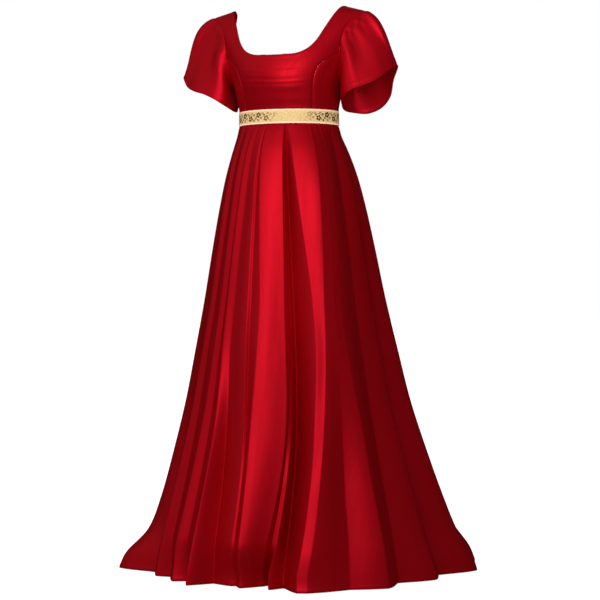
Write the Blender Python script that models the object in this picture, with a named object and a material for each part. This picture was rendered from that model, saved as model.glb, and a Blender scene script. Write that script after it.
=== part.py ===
"""Regency gown of red satin with a gold waist band, worn and hollow.

Metres, +Z up. The front faces -Y and the wearer's left is +X. The origin is midway between
the shoulders, at the height of the shoulder seams, where the wearer holds the gown up.
Heights in the tables are above the floor. The cloth is a wall a few millimetres thick.
"""
import math

import bmesh
import bpy
from mathutils import Vector

# Driving sizes
SHOULDER_HEIGHT = 1.409
BAND_TOP = 1.149
BAND_BOTTOM = 1.113
UNDERARM = 1.217
SEAM_GAP = 0.0003
BODICE_WALL = 0.0020
SLEEVE_WALL = 0.0018
SKIRT_WALL = 0.0020
BAND_WALL = 0.0026
SHOULDER_SLOPE = 0.27
SLOPE_BEGINS, SLOPE_ENDS = 1.30, 1.40
NECK_POINT = 0.143
SHARP_ANGLE = 50.0

# Sections of the bodice, from the band's lower edge to the shoulder seam
HEIGHT, HALF_WIDTH, FRONT, BACK = range(4)
TORSO = (
    (1.113, 0.1275, 0.1005, 0.0955),
    (1.149, 0.1268, 0.1005, 0.0950),
    (1.175, 0.1310, 0.1100, 0.0945),
    (1.205, 0.1380, 0.1200, 0.0945),
    (1.228, 0.1440, 0.1240, 0.0955),
    (1.255, 0.1525, 0.1225, 0.0970),
    (1.285, 0.1640, 0.1140, 0.0975),
    (1.315, 0.1760, 0.0990, 0.0940),
    (1.345, 0.1880, 0.0800, 0.0840),
    (1.372, 0.1980, 0.0590, 0.0670),
    (1.392, 0.2045, 0.0400, 0.0480),
    (1.404, 0.2080, 0.0220, 0.0280),
    (1.409, 0.2100, 0.0000, 0.0000),
)
TORSO_TOP = len(TORSO) - 1

# Edges of the bodice pieces, each from its lower end to its upper end
OUT, UP = range(2)
FRONT_NECKLINE = (
    (0.000, 1.2805), (0.030, 1.2810), (0.054, 1.2835), (0.072, 1.2900), (0.087, 1.3015),
    (0.100, 1.3190), (0.110, 1.3400), (0.120, 1.3630), (0.130, 1.3850), (0.143, 1.4090),
)
BACK_NECKLINE = (
    (0.000, 1.2500), (0.045, 1.2505), (0.082, 1.2540), (0.108, 1.2640), (0.128, 1.2800),
    (0.1465, 1.3010), (0.1550, 1.3260), (0.1580, 1.3530), (0.1555, 1.3800), (0.143, 1.4090),
)
FRONT_ARMHOLE = (
    (0.1500, 1.2900), (0.1515, 1.3080), (0.1545, 1.3260), (0.1590, 1.3440), (0.1660, 1.3620),
    (0.1760, 1.3800), (0.1880, 1.3950), (0.2005, 1.4090),
)
FRONT_UNDERARM = (
    (0.1500, 1.2900), (0.1462, 1.2700), (0.1425, 1.2480), (0.1403, 1.2290), (0.1408, 1.2170),
)
BACK_ARMHOLE = (
    (0.1408, 1.2170), (0.1400, 1.2330), (0.1440, 1.2550), (0.1505, 1.2790), (0.1585, 1.3020),
    (0.1670, 1.3250), (0.1750, 1.3470), (0.1810, 1.3670), (0.1860, 1.3840), (0.1920, 1.3960),
    (0.2005, 1.4090),
)
# The seam that shapes the bust: its angle from the centre front at each height
ANGLE = 0
PRINCESS_SEAM = (
    (43.0, 1.149), (42.5, 1.180), (42.0, 1.210), (43.0, 1.238), (47.0, 1.260), (54.0, 1.278),
)

# The skirt hangs as a cone from the waist to the hem. share is how far it has spread, swell how
# far the gathers puff it out in front and behind, gather how deep the folds are under the band,
# and pool how much of what lies on the floor has been let out
SKIRT_COLUMNS = HEIGHT, SHARE, SWELL, GATHER, POOL = range(5)
SKIRT = (
    (1.1127, 0.000, 0.0000, 0.0020, 0.00),
    (1.1040, 0.004, 0.0055, 0.0035, 0.00),
    (1.0850, 0.022, 0.0105, 0.0060, 0.00),
    (1.0450, 0.075, 0.0125, 0.0085, 0.00),
    (0.9850, 0.143, 0.0100, 0.0095, 0.00),
    (0.9050, 0.212, 0.0060, 0.0080, 0.00),
    (0.8050, 0.287, 0.0030, 0.0030, 0.00),
    (0.6800, 0.372, 0.0010, 0.0000, 0.00),
    (0.5550, 0.467, 0.0000, 0.0000, 0.00),
    (0.4300, 0.565, 0.0000, 0.0000, 0.00),
    (0.3050, 0.692, 0.0000, 0.0000, 0.00),
    (0.1900, 0.818, 0.0000, 0.0000, 0.03),
    (0.1050, 0.912, 0.0000, 0.0000, 0.20),
    (0.0480, 0.970, 0.0000, 0.0000, 0.78),
    (0.0180, 0.993, 0.0000, 0.0000, 0.95),
    (0.0020, 1.000, 0.0000, 0.0000, 1.00),
)
HEM_ROW = len(SKIRT) - 1

# Folds round the skirt, one row for each line along which the cloth bends: its angle in degrees
# from the centre front towards the wearer's left, at four heights, then how far the cone
# through it would reach at the hem, as the upper skirt, the lower skirt and the hem itself draw
# it, what lies pooled beyond, and how far it stands out or in under the band
AT_WAIST, AT_HALF, AT_KNEE, AT_HEM, UPPER, LOWER, REACH, POOLED, PUFF = range(9)
FOLD_EDGES = (
    (-84, -80, -78, -80, 0.366, 0.366, 0.366, 0.070, 0.2),
    (-68, -66, -68, -68, 0.340, 0.322, 0.318, 0.015, -0.2),
    (-56, -53, -55, -56, 0.348, 0.340, 0.338, 0.000, 0.2),
    (-50, -48, -50, -51, 0.332, 0.318, 0.308, 0.000, -0.2),
    (-40, -38, -37, -38, 0.346, 0.342, 0.334, 0.000, 0.2),
    (-34, -34, -33, -34, 0.334, 0.324, 0.296, 0.000, -0.1),
    (-31, -30, -25, -25, 0.350, 0.350, 0.350, 0.000, 0.1),
    (-25, -25, -21.5, -20, 0.330, 0.292, 0.284, 0.000, -0.2),
    (-15, -10.5, -6.5, -8, 0.366, 0.322, 0.296, 0.000, 0.1),
    (-13.5, -8.5, -5.5, -6.5, 0.352, 0.320, 0.290, 0.000, -0.1),
    (-10.5, -1, -1.5, -2, 0.380, 0.350, 0.320, 0.000, 0.3),
    (12.5, 16, 17.5, 6, 0.342, 0.308, 0.278, 0.000, 0.0),
    (13.2, 18, 18.7, 8.5, 0.325, 0.290, 0.262, 0.000, -0.3),
    (14, 20, 20.5, 11, 0.308, 0.292, 0.330, 0.000, -0.5),
    (16, 23, 24.5, 17, 0.278, 0.256, 0.300, 0.000, -1.0),
    (22, 34, 31, 22, 0.414, 0.398, 0.382, 0.000, -0.2),
    (45, 40.5, 35, 25.5, 0.440, 0.402, 0.385, 0.000, 0.9),
    (51, 46.5, 46, 43, 0.430, 0.360, 0.356, 0.000, 0.7),
    (59, 51, 56, 57, 0.420, 0.390, 0.384, 0.000, 0.4),
    (74, 70, 71, 70, 0.350, 0.340, 0.338, 0.000, -0.4),
    (86, 86, 86, 86, 0.376, 0.380, 0.380, 0.010, 0.2),
    (95, 96, 97, 98, 0.344, 0.348, 0.356, 0.020, -0.2),
    (108, 109, 110, 111, 0.444, 0.444, 0.444, 0.028, 0.3),
    (118, 119, 121, 122, 0.432, 0.432, 0.432, 0.040, -0.3),
    (129, 130, 132, 133, 0.488, 0.488, 0.488, 0.040, 0.3),
    (139, 141, 143, 144, 0.462, 0.462, 0.462, 0.045, -0.3),
    (150, 152, 154, 155, 0.550, 0.550, 0.550, 0.045, 0.3),
    (160, 162, 163, 164, 0.512, 0.512, 0.512, 0.050, -0.3),
    (170, 171, 172, 172, 0.590, 0.590, 0.590, 0.055, 0.3),
    (180, 180, 180, 180, 0.556, 0.556, 0.556, 0.055, -0.3),
    (190, 189, 188, 188, 0.590, 0.590, 0.590, 0.060, 0.3),
    (200, 199, 198, 197, 0.525, 0.525, 0.525, 0.065, -0.3),
    (211, 209, 208, 206, 0.550, 0.550, 0.550, 0.075, 0.3),
    (222, 220, 218, 216, 0.480, 0.480, 0.480, 0.090, -0.3),
    (233, 231, 229, 226, 0.485, 0.485, 0.485, 0.120, 0.3),
    (244, 242, 239, 236, 0.410, 0.410, 0.410, 0.145, -0.3),
    (256, 253, 250, 247, 0.400, 0.400, 0.400, 0.162, 0.2),
    (266, 266, 264, 262, 0.345, 0.345, 0.345, 0.130, -0.2),
)
FOLD_HEIGHTS = ((1.060,), (0.680,), (0.360,), (0.040,))
# Between which heights the reach changes from the upper to the lower skirt, and to the hem
LOWER_FOLDS, UPPER_FOLDS = 0.20, 0.62
HEM_FOLDS, SHIN_FOLDS = 0.015, 0.110
LEFT_SEAM, BACK_SEAM, RIGHT_SEAM = 21, 29, 37
# How far the cloth between two edges is rounded: 0 is flat and 1 a soft wave
FOLD_ROUND = 0.35
STEPS_PER_FLANK = 3
HEM_LEAN = 0.2
STEEPEST_FLANK = 0.45

# Hem of each sleeve, as it hangs: around is 0 at the top, 90 in front, 180 at the underarm
AROUND, SIDEWAYS, FORE, LEVEL = range(4)
LEFT_SLEEVE_HEM = (
    (0, 0.282, 0.003, 1.2550), (28, 0.263, -0.032, 1.2360), (58, 0.240, -0.054, 1.2150),
    (88, 0.214, -0.066, 1.2030), (118, 0.189, -0.071, 1.1940), (148, 0.164, -0.060, 1.1800),
    (178, 0.144, -0.014, 1.1610), (206, 0.139, 0.030, 1.1510), (230, 0.156, 0.056, 1.1470),
    (256, 0.186, 0.070, 1.1460), (284, 0.220, 0.071, 1.1590), (310, 0.246, 0.061, 1.1850),
    (336, 0.262, 0.034, 1.2220),
)
RIGHT_SLEEVE_HEM = (
    (0, 0.283, 0.000, 1.2480), (28, 0.264, -0.028, 1.2200), (58, 0.237, -0.052, 1.2050),
    (88, 0.203, -0.064, 1.1940), (118, 0.174, -0.066, 1.1800), (148, 0.153, -0.050, 1.1650),
    (178, 0.141, -0.010, 1.1530), (206, 0.151, 0.034, 1.1630), (236, 0.176, 0.059, 1.1790),
    (266, 0.204, 0.068, 1.1950), (298, 0.234, 0.060, 1.2120), (330, 0.266, 0.033, 1.2310),
)
# How far the cloth runs on past the shoulder before it falls, as a share of its length
LEFT_HEAD, RIGHT_HEAD = 0.31, 0.42
UNDERARM_HEAD = 0.18
UNDERARM_BEGINS = 0.25
SLEEVE_FALL = (0.42, -0.30, -0.86)
SLEEVE_FALL_SHARE = 0.34
SLEEVE_SETTLE = 0.22
SLEEVE_ROWS = 8
SLEEVE_ROW_POWER = 1.15

# Rows and columns of each bodice piece
SEAM_ROWS = 7
STRAP_ROWS = 11
UNDERARM_STEPS = 5
FRONT_COLUMNS = 7
SIDE_COLUMNS = UNDERARM_STEPS
BACK_COLUMNS = 8
BAND_STEPS = 72
NECK_SAG = 1.2


def clear_scene():
    for thing in list(bpy.data.objects):
        bpy.data.objects.remove(thing, do_unlink=True)


def catmull(a, b, c, d, t):
    return 0.5 * (2 * b + (c - a) * t + (2 * a - 5 * b + 4 * c - d) * t * t
                  + (3 * b - a - 3 * c + d) * t ** 3)


def row_value(table, column, position):
    """Smooth value of a column at a row position that may lie between rows."""
    last = len(table) - 1
    position = min(max(position, 0.0), float(last))
    index = min(int(position), last - 1)
    rows = (max(index - 1, 0), index, index + 1, min(index + 2, last))
    a, b, c, d = (table[row][column] for row in rows)
    return catmull(a, b, c, d, position - index)


def row_at(table, column, value):
    """Row position where a column that rises or falls steadily has this value."""
    low, high = 0.0, float(len(table) - 1)
    rising = table[-1][column] > table[0][column]
    for _ in range(40):
        middle = (low + high) / 2
        if (row_value(table, column, middle) < value) == rising:
            low = middle
        else:
            high = middle
    return (low + high) / 2


def smooth_step(low, high, value):
    share = min(max((value - low) / (high - low), 0.0), 1.0)
    return share * share * (3 - 2 * share)


def torso_point(angle, row):
    """Point of the bodice: angle from the centre front, row from the band to the shoulder.

    Past the shoulder seam the surface goes on down the other side.
    """
    if row > TORSO_TOP:
        angle, row = 180.0 - angle, 2 * TORSO_TOP - row
    turn = math.radians(angle)
    height = row_value(TORSO, HEIGHT, row)
    out = row_value(TORSO, HALF_WIDTH, row) * math.sin(turn)
    depth = row_value(TORSO, FRONT if math.cos(turn) > 0 else BACK, row)
    drop = SHOULDER_SLOPE * max(0.0, abs(out) - NECK_POINT)
    drop *= smooth_step(SLOPE_BEGINS, SLOPE_ENDS, height)
    return Vector((out, -depth * math.cos(turn), height - drop - SHOULDER_HEIGHT))


def surface_normal(surface, u, v, du, dv):
    """Outward where u goes towards the wearer's left in front and v goes up."""
    along = surface(u + du, v) - surface(u - du, v)
    across = surface(u, v + dv) - surface(u, v - dv)
    return along.cross(across).normalized()


def torso_normal(angle, row):
    return surface_normal(torso_point, angle, row, 0.5, 0.05)


def on_torso(out, height, back=False):
    """Angle and row of the bodice point this far out at this height."""
    row = row_at(TORSO, HEIGHT, height)
    angle = math.degrees(math.asin(min(out / row_value(TORSO, HALF_WIDTH, row), 1.0)))
    return (180.0 - angle if back else angle), row


def edge_stations(table, steps, back=False):
    last = len(table) - 1
    stations = []
    for step in range(steps + 1):
        position = last * step / steps
        out = row_value(table, OUT, position)
        height = row_value(table, UP, position)
        stations.append(on_torso(out, height, back))
    return stations


def straight(start, end, steps):
    return [(start[0] + (end[0] - start[0]) * step / steps,
             start[1] + (end[1] - start[1]) * step / steps) for step in range(steps + 1)]


def princess_stations():
    last = len(PRINCESS_SEAM) - 1
    stations = []
    for step in range(SEAM_ROWS):
        position = last * step / SEAM_ROWS
        angle = row_value(PRINCESS_SEAM, ANGLE, position)
        stations.append((angle, row_at(TORSO, HEIGHT, row_value(PRINCESS_SEAM, UP, position))))
    return stations + [on_torso(*FRONT_ARMHOLE[0])]


def side_stations():
    low, high = row_at(TORSO, HEIGHT, BAND_TOP), row_at(TORSO, HEIGHT, UNDERARM)
    return straight((90.0, low), (90.0, high), SEAM_ROWS)


def armhole_stations():
    """The whole armhole: down the front from the shoulder, then up the back."""
    upper = edge_stations(FRONT_ARMHOLE, STRAP_ROWS)[::-1]
    lower = edge_stations(FRONT_UNDERARM, UNDERARM_STEPS)
    lower[-1] = side_stations()[-1]
    back = edge_stations(BACK_ARMHOLE, STRAP_ROWS, back=True)
    back[0] = side_stations()[-1]
    return upper, lower, back


def ruled_grid(inner, outer, columns, top=None, neck=None):
    """Grid of angle and row pairs between two edges, with its last row on a third one. Lines
    near the row called neck sag, so that they stay under a scooped neckline."""
    rows = len(inner) - 1
    grid = []
    for j in range(rows + 1):
        sag = 0.0
        if neck:
            sag = j / neck if j <= neck else (rows - j) / (rows - neck)
        line = []
        for i in range(columns + 1):
            share = i / columns
            shares = (share, share ** (1 + NECK_SAG * sag))
            pair = [inner[j][k] * (1 - shares[k]) + outer[j][k] * shares[k] for k in (0, 1)]
            if top:
                chord = [inner[-1][k] * (1 - share) + outer[-1][k] * share for k in (0, 1)]
                pair = [pair[k] + (top[i][k] - chord[k]) * j / rows for k in (0, 1)]
            line.append(tuple(pair))
        grid.append(line)
    return grid


def principled(name, colour, roughness, metallic=0.0, sheen=0.0):
    material = bpy.data.materials.new(name)
    material.use_nodes = True
    shader = material.node_tree.nodes["Principled BSDF"]
    shader.inputs["Base Color"].default_value = (*colour, 1.0)
    shader.inputs["Roughness"].default_value = roughness
    shader.inputs["Metallic"].default_value = metallic
    shader.inputs["Sheen Weight"].default_value = sheen
    return material


def satin(name):
    return principled(name + "_satin", (0.40, 0.0, 0.007), 0.32, sheen=0.3)


def brocade(name):
    return principled(name + "_brocade", (0.62, 0.44, 0.20), 0.38, metallic=0.35)


def split_cell(cell, points):
    """A cell's two triangles, on its shorter diagonal. Both sheets split alike, so that a
    twisted cell's wall doesn't cross itself."""
    a, b, c, d = cell
    if (points[a] - points[c]).length <= (points[b] - points[d]).length:
        return (a, b, c), (a, c, d)
    return (a, b, d), (b, c, d)


def cloth_wall(name, outer, inner, cells, material):
    """Closed wall between an outer and an inner sheet of keyed points."""
    mesh_maker = bmesh.new()
    outside = {key: mesh_maker.verts.new(point) for key, point in outer.items()}
    inside = {key: mesh_maker.verts.new(point) for key, point in inner.items()}
    used = set()
    for cell in cells:
        for corners in split_cell(cell, outer):
            mesh_maker.faces.new([outside[key] for key in corners])
            mesh_maker.faces.new([inside[key] for key in reversed(corners)])
        used.update(zip(cell, cell[1:] + cell[:1]))
    for start, end in used:
        if (end, start) not in used:
            mesh_maker.faces.new((outside[end], outside[start], inside[start], inside[end]))
    if mesh_maker.calc_volume(signed=True) < 0:
        bmesh.ops.reverse_faces(mesh_maker, faces=mesh_maker.faces)
    bmesh.ops.triangulate(mesh_maker, faces=mesh_maker.faces)
    mesh = bpy.data.meshes.new(name)
    mesh_maker.to_mesh(mesh)
    mesh_maker.free()
    mesh.materials.append(material)
    mesh.shade_smooth()
    mesh.set_sharp_from_angle(angle=math.radians(SHARP_ANGLE))
    thing = bpy.data.objects.new(name, mesh)
    bpy.context.scene.collection.objects.link(thing)
    return thing


def grid_cells(rows, columns, closed=False):
    cells = []
    for j in range(rows):
        for i in range(columns):
            right = (i + 1) % columns if closed else i + 1
            cells.append(((i, j), (right, j), (right, j + 1), (i, j + 1)))
    return cells


def torso_sheets(pairs, shift, wall=BODICE_WALL):
    """Outer and inner points of keyed angle and row pairs, moved a little to part a seam."""
    outer, inner = {}, {}
    for key, (angle, row) in pairs.items():
        point = torso_point(angle, row) + Vector(shift)
        outer[key] = point
        inner[key] = point - torso_normal(angle, row) * wall
    return outer, inner


def gap_angle(distance):
    """Angle that a distance on the bodice takes up."""
    return math.degrees(distance / TORSO[3][HALF_WIDTH])


def make_front():
    """Centre front with both straps, cut in one: the two halves share the centre line."""
    seam = [(angle - gap_angle(SEAM_GAP / 2), row) for angle, row in princess_stations()]
    strap, _, _ = armhole_stations()
    outer_edge = seam + strap[::-1][1:]
    low = row_at(TORSO, HEIGHT, BAND_TOP)
    centre = straight((0.0, low), on_torso(*FRONT_NECKLINE[0]), SEAM_ROWS)
    inner_edge = centre + edge_stations(FRONT_NECKLINE, STRAP_ROWS)[1:]
    grid = ruled_grid(inner_edge, outer_edge, FRONT_COLUMNS, neck=SEAM_ROWS)
    pairs, cells = {}, []

    def key(side, i, j):
        return (0, i, j) if i == 0 and j <= SEAM_ROWS else (side, i, j)

    for side in (1, -1):
        for j, line in enumerate(grid):
            for i, (angle, row) in enumerate(line):
                pairs[key(side, i, j)] = (side * angle, row)
        for j in range(len(grid) - 1):
            for i in range(FRONT_COLUMNS):
                cell = (key(side, i, j), key(side, i + 1, j), key(side, i + 1, j + 1),
                        key(side, i, j + 1))
                cells.append(cell if side > 0 else cell[::-1])
    outer, inner = torso_sheets(pairs, (0, -SEAM_GAP / 2, 0))
    cloth_wall("bodice_front", outer, inner, cells, satin("bodice_front"))


def make_side_front(side, label):
    name = "bodice_side_front_" + label
    seam = [(angle + gap_angle(SEAM_GAP / 2), row) for angle, row in princess_stations()]
    _, lower, _ = armhole_stations()
    grid = ruled_grid(seam, side_stations(), SIDE_COLUMNS, top=[seam[-1]] + lower[1:])
    pairs = {(i, j): (side * angle, row) for j, line in enumerate(grid)
             for i, (angle, row) in enumerate(line)}
    outer, inner = torso_sheets(pairs, (0, -SEAM_GAP / 2, 0))
    cells = grid_cells(SEAM_ROWS, SIDE_COLUMNS)
    cloth_wall(name, outer, inner, cells, satin(name))


def make_back(side, label):
    name = "bodice_back_" + label
    _, _, armhole = armhole_stations()
    outer_edge = side_stations() + armhole[1:]
    centre = straight((180.0, row_at(TORSO, HEIGHT, BAND_TOP)),
                      on_torso(*BACK_NECKLINE[0], back=True), SEAM_ROWS)
    inner_edge = centre + edge_stations(BACK_NECKLINE, STRAP_ROWS, back=True)[1:]
    grid = ruled_grid(inner_edge, outer_edge, BACK_COLUMNS, neck=SEAM_ROWS)
    pairs = {(i, j): (side * angle, row) for j, line in enumerate(grid)
             for i, (angle, row) in enumerate(line)}
    outer, inner = torso_sheets(pairs, (side * SEAM_GAP / 2, SEAM_GAP / 2, 0))
    cells = grid_cells(len(grid) - 1, BACK_COLUMNS)
    cloth_wall(name, outer, inner, cells, satin(name))


def make_band():
    """Waist band set in between the bodice and the skirt, a little prouder than both."""
    rows = (BAND_BOTTOM + SEAM_GAP, (BAND_BOTTOM + BAND_TOP) / 2, BAND_TOP - SEAM_GAP)
    outer, inner = {}, {}
    proud = BAND_WALL - BODICE_WALL
    for j, height in enumerate(rows):
        row = row_at(TORSO, HEIGHT, height)
        for i in range(BAND_STEPS):
            angle = 360.0 * i / BAND_STEPS
            point, normal = torso_point(angle, row), torso_normal(angle, row)
            outer[(i, j)] = point + normal * proud
            inner[(i, j)] = point - normal * BODICE_WALL
    cells = grid_cells(2, BAND_STEPS, closed=True)
    cloth_wall("waist_band", outer, inner, cells, brocade("waist_band"))


def around_value(table, column, around):
    """Smooth value of a column of a table that goes round a ring."""
    turns = [row[AROUND] for row in table] + [360.0]
    around %= 360.0
    index = max(k for k in range(len(table)) if turns[k] <= around)
    share = (around - turns[index]) / (turns[index + 1] - turns[index])
    count = len(table)
    a, b, c, d = (table[(index + k) % count][column] for k in (-1, 0, 1, 2))
    return catmull(a, b, c, d, share)


def armhole_loop():
    """Armhole points, outward normals and directions off the cloth's edge, with each
    station's share of the way round."""
    upper, lower, back = armhole_stations()
    front = upper + lower[1:]
    stations = front + back[1:-1]
    points = [torso_point(*station) for station in stations]
    normals = [torso_normal(*station) for station in stations]
    count = len(points)
    loop = []
    for k, point in enumerate(points):
        along = (points[(k + 1) % count] - points[k - 1]).normalized()
        loop.append((point, normals[k], normals[k].cross(along).normalized()))
    half = len(front) - 1
    turns = [180.0 * k / half for k in range(half)]
    turns += [180.0 + 180.0 * k / (count - half) for k in range(count - half)]
    return loop, turns


def sleeve_base(hem_table, head, loop, turns, around, share):
    """Point of a sleeve: share 0 at the armhole and 1 at the hem."""
    count = len(loop)
    around %= 360.0
    index = max(k for k in range(count) if turns[k] <= around)
    following = (index + 1) % count
    end = turns[following] if following else 360.0
    part = (around - turns[index]) / (end - turns[index])
    start, normal, off = (loop[index][k].lerp(loop[following][k], part) for k in range(3))
    turn = math.radians(around)
    underarm = smooth_step(UNDERARM_BEGINS, 1.0, (1 - math.cos(turn)) / 2)
    begin = start + off * SEAM_GAP
    leave = (off * (1 - underarm) + normal * underarm).normalized()
    hem = Vector([around_value(hem_table, column, around) for column in (SIDEWAYS, FORE, LEVEL)])
    hem.z -= SHOULDER_HEIGHT
    length = (hem - begin).length
    aside, forward, down = SLEEVE_FALL
    arrive = Vector((aside, forward * math.sin(turn), down)).normalized()
    first = begin + leave * length * (head * (1 - underarm) + UNDERARM_HEAD * underarm)
    second = hem - arrive * length * SLEEVE_FALL_SHARE
    rest = 1 - share
    return (begin * rest ** 3 + first * 3 * rest * rest * share
            + second * 3 * rest * share * share + hem * share ** 3), normal, off, underarm


def sleeve_sheets(hem_table, head, side):
    loop, turns = armhole_loop()
    outer, inner = {}, {}

    def base(around, share):
        return sleeve_base(hem_table, head, loop, turns, around, share)

    for j in range(SLEEVE_ROWS + 1):
        share = (j / SLEEVE_ROWS) ** SLEEVE_ROW_POWER
        for i, around in enumerate(turns):
            point, edge_normal, off, underarm = base(around, share)
            down = base(around, min(share + 0.02, 1.0))[0] - base(around, max(share - 0.02, 0.0))[0]
            along = base(around + 2.0, share)[0] - base(around - 2.0, share)[0]
            normal = along.cross(down).normalized()
            seam_normal = (edge_normal * (1 - underarm) - off * underarm).normalized()
            settle = smooth_step(0.0, SLEEVE_SETTLE, share)
            normal = seam_normal.lerp(normal, settle).normalized()
            inside = point - normal * SLEEVE_WALL
            outer[(i, j)] = Vector((side * point.x, point.y, point.z))
            inner[(i, j)] = Vector((side * inside.x, inside.y, inside.z))
    return outer, inner, len(turns)


def make_sleeve(hem_table, head, side, label):
    name = "sleeve_" + label
    outer, inner, steps = sleeve_sheets(hem_table, head, side)
    cells = grid_cells(SLEEVE_ROWS, steps, closed=True)
    cloth_wall(name, outer, inner, cells, satin(name))


def waist_radius(angle):
    turn = math.radians(angle)
    depth = TORSO[0][FRONT if math.cos(turn) > 0 else BACK]
    return 1.0 / math.hypot(math.sin(turn) / TORSO[0][HALF_WIDTH], math.cos(turn) / depth)


def fold_line(index, height):
    """Angle, reach, pool and puff of a fold's edge by its number round the skirt."""
    turns, number = divmod(index, len(FOLD_EDGES))
    line = FOLD_EDGES[number]
    angles = [(angle,) for angle in line[AT_WAIST:AT_HEM + 1]]
    angle = row_value(angles, 0, row_at(FOLD_HEIGHTS, HEIGHT, height)) + 360.0 * turns
    above = smooth_step(LOWER_FOLDS, UPPER_FOLDS, height)
    off_floor = smooth_step(HEM_FOLDS, SHIN_FOLDS, height)
    lower = line[REACH] * (1 - off_floor) + line[LOWER] * off_floor
    return angle, lower * (1 - above) + line[UPPER] * above, line[POOLED], line[PUFF]


def skirt_point(flank, row):
    """Point of the skirt: flank counts the folds' edges, row goes from waist to hem."""
    height, share, swell, gather, pool = (row_value(SKIRT, k, row) for k in SKIRT_COLUMNS)
    index = math.floor(flank)
    part = flank - index
    blend = FOLD_ROUND * (1 - math.cos(math.pi * part)) / 2 + (1 - FOLD_ROUND) * part
    this, following = fold_line(index, height), fold_line(index + 1, height)
    angle = this[0] + (following[0] - this[0]) * part
    reach, spread, puff = (this[k] + (following[k] - this[k]) * blend for k in (1, 2, 3))
    waist = waist_radius(angle)
    turn = math.radians(angle)
    swell *= math.cos(turn) ** 2
    radius = waist + (reach - waist) * share + swell + gather * puff + spread * pool
    return Vector((radius * math.sin(turn), -radius * math.cos(turn), height - SHOULDER_HEIGHT))


def skirt_inside(flank, row):
    """Inner point of the wall. It lies straight in from the outer one, towards the middle, so
    that the wall doesn't cross itself where a fold is tight."""
    point = skirt_point(flank, row)
    outward = Vector((point.x, point.y, 0)).normalized()
    if row > HEM_ROW - 0.5:
        return point - (outward * HEM_LEAN + Vector((0, 0, 1))).normalized() * SKIRT_WALL
    normal = -surface_normal(skirt_point, flank, row, 0.05, 0.05)
    return point - outward * SKIRT_WALL / max(normal.dot(outward), STEEPEST_FLANK)


def make_skirt_panel(name, first, last, shift):
    columns = (last - first) * STEPS_PER_FLANK
    outer, inner = {}, {}
    for j in range(HEM_ROW + 1):
        for i in range(columns + 1):
            flank = first + i / STEPS_PER_FLANK
            outer[(i, j)] = skirt_point(flank, j) + Vector(shift)
            inner[(i, j)] = skirt_inside(flank, j) + Vector(shift)
    cloth_wall(name, outer, inner, grid_cells(HEM_ROW, columns), satin(name))


def make_skirt():
    turn = len(FOLD_EDGES)
    half = SEAM_GAP / 2
    make_skirt_panel("skirt_front", RIGHT_SEAM - turn, LEFT_SEAM, (0, -half, 0))
    make_skirt_panel("skirt_back_left", LEFT_SEAM, BACK_SEAM, (half, half, 0))
    make_skirt_panel("skirt_back_right", BACK_SEAM, RIGHT_SEAM, (-half, half, 0))


clear_scene()
make_front()
for side, label in ((1, "left"), (-1, "right")):
    make_side_front(side, label)
    make_back(side, label)
make_sleeve(LEFT_SLEEVE_HEM, LEFT_HEAD, 1, "left")
make_sleeve(RIGHT_SLEEVE_HEM, RIGHT_HEAD, -1, "right")
make_band()
make_skirt()
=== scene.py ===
"""Looks of the regency gown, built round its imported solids.

Metres, +Z up. The front faces -Y and the wearer's left is +X. The origin is midway between
the shoulders. Heights in the tables are above the floor. Each panel of cloth is a fine shell
on the form of its own solid, with the creases that a plain solid leaves out.
"""
import math

import bmesh
import bpy
import numpy as np
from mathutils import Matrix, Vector


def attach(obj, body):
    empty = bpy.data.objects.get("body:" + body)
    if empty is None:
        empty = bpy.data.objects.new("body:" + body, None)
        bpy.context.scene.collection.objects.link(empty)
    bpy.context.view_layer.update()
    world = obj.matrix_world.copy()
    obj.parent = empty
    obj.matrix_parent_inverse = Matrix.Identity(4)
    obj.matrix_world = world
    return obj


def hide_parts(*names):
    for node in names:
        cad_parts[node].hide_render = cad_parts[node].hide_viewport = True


# Driving sizes, as in the solids
SHOULDER_HEIGHT = 1.409
BAND_TOP = 1.149
BAND_BOTTOM = 1.113
UNDERARM = 1.217
SEAM_GAP = 0.0003
BODICE_WALL = 0.0020
BAND_WALL = 0.0026
SHOULDER_SLOPE = 0.27
SLOPE_BEGINS, SLOPE_ENDS = 1.30, 1.40
NECK_POINT = 0.143

# Sections of the bodice, from the band's lower edge to the shoulder seam
HEIGHT, HALF_WIDTH, FRONT, BACK = range(4)
TORSO = (
    (1.113, 0.1275, 0.1005, 0.0955),
    (1.149, 0.1268, 0.1005, 0.0950),
    (1.175, 0.1310, 0.1100, 0.0945),
    (1.205, 0.1380, 0.1200, 0.0945),
    (1.228, 0.1440, 0.1240, 0.0955),
    (1.255, 0.1525, 0.1225, 0.0970),
    (1.285, 0.1640, 0.1140, 0.0975),
    (1.315, 0.1760, 0.0990, 0.0940),
    (1.345, 0.1880, 0.0800, 0.0840),
    (1.372, 0.1980, 0.0590, 0.0670),
    (1.392, 0.2045, 0.0400, 0.0480),
    (1.404, 0.2080, 0.0220, 0.0280),
    (1.409, 0.2100, 0.0000, 0.0000),
)
TORSO_TOP = len(TORSO) - 1

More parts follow.
